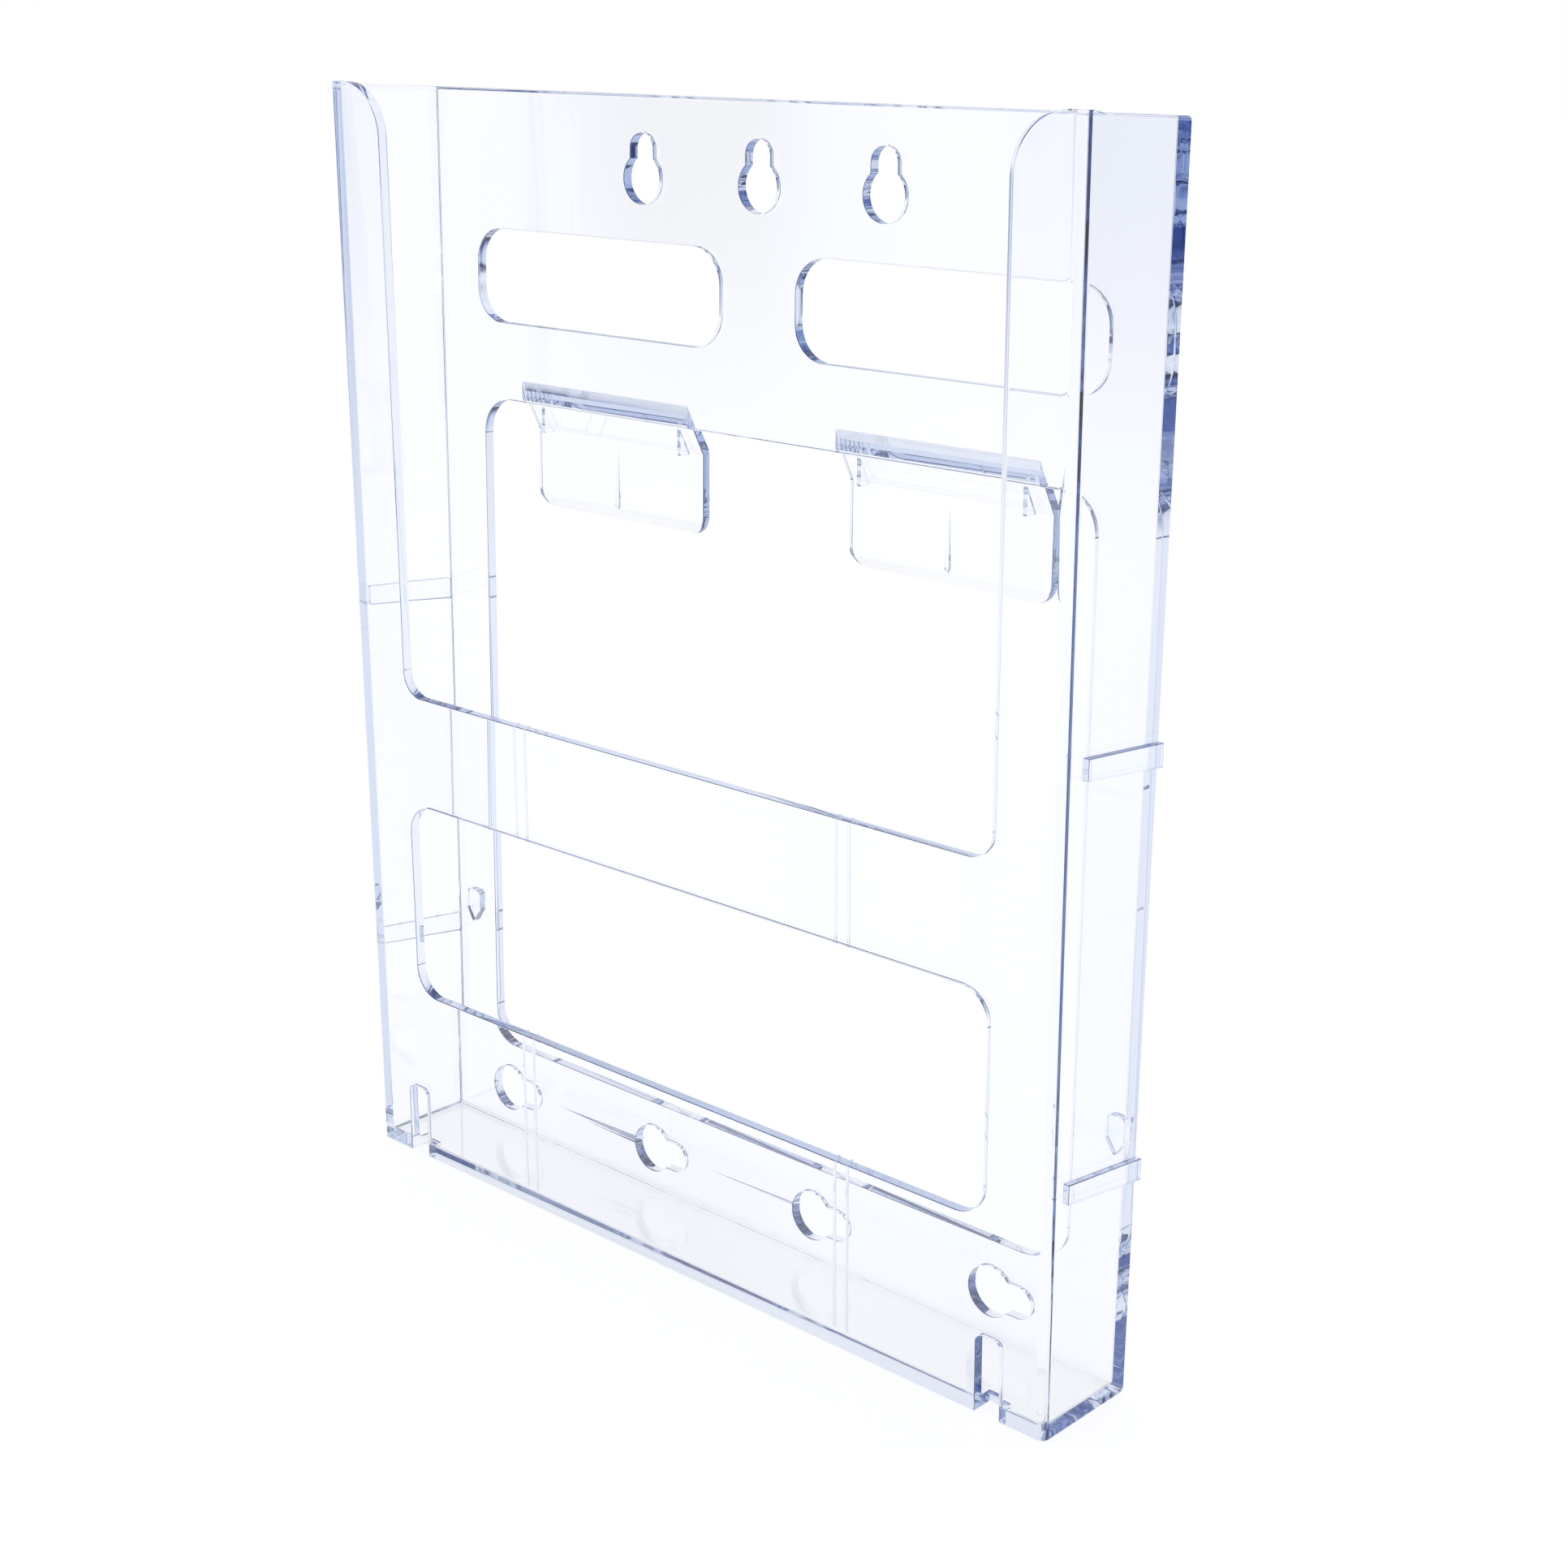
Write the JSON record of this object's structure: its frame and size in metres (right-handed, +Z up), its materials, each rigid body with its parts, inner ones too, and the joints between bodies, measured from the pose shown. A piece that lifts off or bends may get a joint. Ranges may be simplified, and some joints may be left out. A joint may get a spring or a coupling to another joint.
{
  "type": "wall document pocket",
  "caption": "Clear open-topped document pocket with windowed front and back, keyholes for wall screws and rear hooks for joining like pockets.",
  "frame": {"origin": "centre of the flat underside", "axes": "+Z up to the open mouth, +Y back to the wall, +X to the user's right as they face the front"},
  "size_m": [0.245, 0.0437, 0.3],
  "materials": {
    "clear_plastic": "polished, crystal clear"
  },
  "bodies": {
    "root": {"floor_panel": "clear_plastic", "front_left_lower_upright": "clear_plastic", "front_left_upper_upright": "clear_plastic", "front_lower_band": "clear_plastic", "front_middle_band": "clear_plastic", "front_right_lower_upright": "clear_plastic", "front_right_upper_upright": "clear_plastic", "left_hook_crush_rib": "clear_plastic", "left_hook_root": "clear_plastic", "left_hook_seat_ribs": "clear_plastic", "left_hook_tongue": "clear_plastic", "left_lower_strap": "clear_plastic", "left_side_wall": "clear_plastic", "left_upper_strap": "clear_plastic", "left_wall_spacer": "clear_plastic", "lower_band_left_rails": "clear_plastic", "lower_band_right_rails": "clear_plastic", "middle_band_left_rails": "clear_plastic", "middle_band_right_rails": "clear_plastic", "rear_bottom_rail": "clear_plastic", "rear_hook_rail": "clear_plastic", "rear_left_stile": "clear_plastic", "rear_right_stile": "clear_plastic", "rear_top_rail": "clear_plastic", "right_hook_crush_rib": "clear_plastic", "right_hook_root": "clear_plastic", "right_hook_seat_ribs": "clear_plastic", "right_hook_tongue": "clear_plastic", "right_lower_strap": "clear_plastic", "right_side_wall": "clear_plastic", "right_upper_strap": "clear_plastic", "right_wall_spacer": "clear_plastic"}
  },
  "joints": []
}
